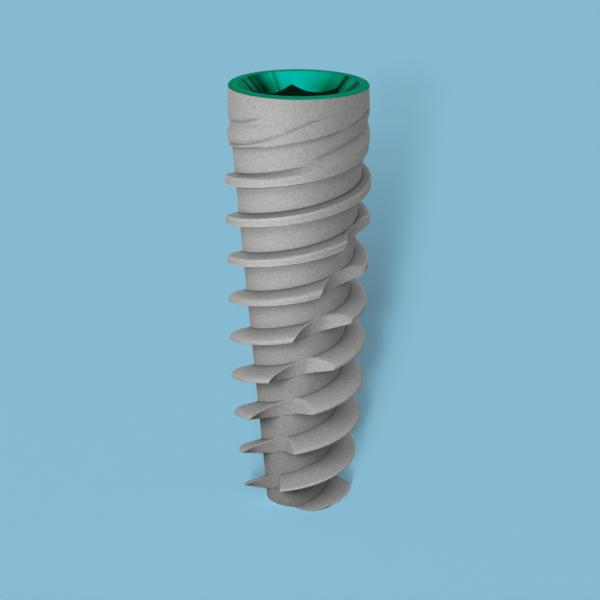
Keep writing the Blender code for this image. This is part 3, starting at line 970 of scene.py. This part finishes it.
def floor_material():
    material, tree, shader = new_material("pale_blue_floor")
    shader.inputs["Roughness"].default_value = 1.0
    shader.inputs["Specular IOR Level"].default_value = 0.0
    share = shadow_share(tree)
    path = tree.nodes.new("ShaderNodeLightPath")
    mix = tree.nodes.new("ShaderNodeMix")
    mix.data_type = "RGBA"
    mix.inputs["A"].default_value = BOUNCE_GREY
    seen = scaled(tree, [value / FLOOR_LIGHT for value in GROUND], share)
    tree.links.new(seen, mix.inputs["B"])
    tree.links.new(path.outputs["Is Camera Ray"], mix.inputs["Factor"])
    tree.links.new(mix.outputs["Result"], shader.inputs["Base Color"])
    rest = maths(tree, "SUBTRACT", 1.0, share)
    tree.links.new(scaled(tree, GROUND, rest), shader.inputs["Emission Color"])
    tree.links.new(path.outputs["Is Camera Ray"], shader.inputs["Emission Strength"])
    return material


bpy.ops.mesh.primitive_circle_add(vertices=96, radius=FLOOR_RADIUS, fill_type="NGON")
floor = bpy.context.object
floor.name = "floor"
floor.data.materials.append(floor_material())
print("floor", tuple(round(side, 2) for side in floor.dimensions))

# %% [markdown]
# Five small softboxes stand close around the front of the implant, a little below its top, so
# both its ends are darker than its middle. Two large ones from above light the flanks that face
# up, two small ones behind keep the back from going black, and one lights the socket alone.
# Their strengths were found by rendering the implant under one lamp at a time and comparing
# the mix of those renders with the photograph. The lamps are hidden from the camera.

# %% Light


def towards(azimuth, elevation):
    """Direction to a lamp at an azimuth to the left of the camera and an elevation."""
    turn, rise = math.radians(azimuth), math.radians(elevation)
    level = math.cos(rise)
    return Vector((-math.sin(turn) * level, -math.cos(turn) * level, math.sin(rise)))


def aim(item, target):
    direction = Vector(target) - item.location
    item.rotation_euler = direction.to_track_quat("-Z", "Y").to_euler()


def sun(name, azimuth, elevation, strength, spread):
    lamp = bpy.data.lights.new(name, "SUN")
    lamp.energy = strength
    lamp.angle = math.radians(spread)
    item = bpy.data.objects.new(name, lamp)
    item.location = towards(azimuth, elevation)
    bpy.context.scene.collection.objects.link(item)
    aim(item, (0.0, 0.0, 0.0))
    return item


def light_only(lamp, items):
    """Let a lamp light only these objects."""
    receivers = bpy.data.collections.new("lit_by_" + lamp.name)
    for item in items:
        receivers.objects.link(item)
    lamp.light_linking.receiver_collection = receivers


def softbox(name, azimuth, distance, height, size, power, lit):
    """A square softbox that faces the implant, its azimuth counted as for a sun."""
    lamp = bpy.data.lights.new(name, "AREA")
    lamp.size = size
    lamp.energy = power
    item = bpy.data.objects.new(name, lamp)
    item.location = distance * towards(azimuth, 0.0)
    item.location.z = height
    item.visible_camera = False
    bpy.context.scene.collection.objects.link(item)
    aim(item, (0.0, 0.0, LIT_HEIGHT))
    light_only(item, lit)
    return item


LIT_HEIGHT = 0.008
# Each softbox: azimuth, distance from the axis, height, side and power.
SOFTBOXES = {
    "softbox_front_left": (25.0, 0.0143, 0.0087, 0.0080, 0.0013),
    "softbox_left": (50.0, 0.0143, 0.0095, 0.0080, 0.00094),
    "softbox_side_left": (100.0, 0.0143, 0.0100, 0.0080, 0.00032),
    "softbox_front_right": (-25.0, 0.0143, 0.0094, 0.0080, 0.00048),
    "softbox_side_right": (-100.0, 0.0143, 0.0104, 0.0080, 0.00037),
    "softbox_high_front": (0.0, 0.053, 0.114, 0.07, 0.012),
    "softbox_high_right": (-60.0, 0.053, 0.114, 0.07, 0.0265),
    "softbox_back_left": (155.0, 0.0165, 0.012, 0.0085, 0.0007),
    "softbox_back_right": (-160.0, 0.0165, 0.012, 0.0085, 0.0004),
    "softbox_socket": (0.0, 0.085, 0.092, 0.05, 0.1),
}
softboxes = []
for name, values in SOFTBOXES.items():
    lit = [socket_surface] if "socket" in name else [implant_surface]
    if "high" in name:
        lit.append(socket_surface)
    softboxes.append(softbox(name, *values, lit))
print("softboxes", [lamp.name for lamp in softboxes])

# %% [markdown]
# The shadow in the picture is long, soft and narrow. It is thrown on the floor by a low upright
# strip of light at the front, made of five suns, one above the other. The low ones throw its
# far end and the high ones its near end. They light the floor alone, and together they give
# it the same light as one sun from straight above.

# %% Strip of light for the shadow
STRIP_AZIMUTH = 5.9
STRIP_LIGHT = 0.49
# Each sun of the strip: elevation, how wide it is, and its share of the light on the floor.
STRIP = (
    (11.5, 2.6, 0.33),
    (15.0, 4.0, 0.20),
    (19.0, 5.0, 0.17),
    (24.5, 7.0, 0.15),
    (32.0, 9.0, 0.15),
)
strip = []
for elevation, width, share in STRIP:
    strength = STRIP_LIGHT * share * math.pi / math.sin(math.radians(elevation))
    strip.append(sun(f"strip_{round(elevation)}", STRIP_AZIMUTH, elevation, strength, width))
    light_only(strip[-1], [floor])
print("strip", [lamp.name for lamp in strip])

# %% [markdown]
# The world adds a little even light, and gives metal something to mirror. Through Light Path,
# glossy rays see the pale blue of the studio, and all other rays see a dark grey.

# %% World
STUDIO_BLUES = [(0.0, (0.24, 0.42, 0.52)), (1.0, (0.5, 0.6, 0.62))]
FILL_GREY = (0.04, 0.04, 0.04, 1.0)


def make_world():
    world = bpy.data.worlds.new("studio")
    bpy.context.scene.world = world
    world.use_nodes = True
    tree = world.node_tree
    background = tree.nodes["Background"]
    place = tree.nodes.new("ShaderNodeTexCoord")
    split = tree.nodes.new("ShaderNodeSeparateXYZ")
    tree.links.new(place.outputs["Generated"], split.inputs["Vector"])
    sky = ramp(tree, split.outputs["Z"], STUDIO_BLUES)
    path = tree.nodes.new("ShaderNodeLightPath")
    mix = tree.nodes.new("ShaderNodeMix")
    mix.data_type = "RGBA"
    mix.inputs["A"].default_value = FILL_GREY
    tree.links.new(path.outputs["Is Glossy Ray"], mix.inputs["Factor"])
    tree.links.new(sky, mix.inputs["B"])
    tree.links.new(mix.outputs["Result"], background.inputs["Color"])
    background.inputs["Strength"].default_value = 1.0
    return world


make_world()
scene = bpy.context.scene
scene.view_settings.view_transform = "Standard"
print("view transform", scene.view_settings.view_transform)

# %% [markdown]
# The camera stands where the photographer's did. Its place was found by fitting the outline
# of the implant: it looks down by about 18 degrees, from 57 mm away, with a long lens.

# %% Camera
CAMERA_ELEVATION = math.radians(18.466)
CAMERA_DISTANCE = 57.102 * MM
CAMERA_TARGET = 6.382 * MM
CAMERA_ROLL = math.radians(0.240)
CAMERA_LENS = 114.04
CAMERA_SHIFT = 2.2 / 600


def make_camera():
    data = bpy.data.cameras.new("camera")
    data.sensor_width = 36.0
    data.lens = CAMERA_LENS
    data.shift_x = CAMERA_SHIFT
    data.clip_start = 0.001
    data.clip_end = 10.0
    item = bpy.data.objects.new("camera", data)
    bpy.context.scene.collection.objects.link(item)
    look = Vector((0.0, math.cos(CAMERA_ELEVATION), -math.sin(CAMERA_ELEVATION)))
    turn = look.to_track_quat("-Z", "Y").to_matrix() @ Matrix.Rotation(CAMERA_ROLL, 3, "Z")
    item.rotation_euler = turn.to_euler()
    item.location = Vector((0.0, 0.0, CAMERA_TARGET)) - look * CAMERA_DISTANCE
    return item


camera = make_camera()
scene.camera = camera
print("camera", tuple(round(value, 4) for value in camera.location))
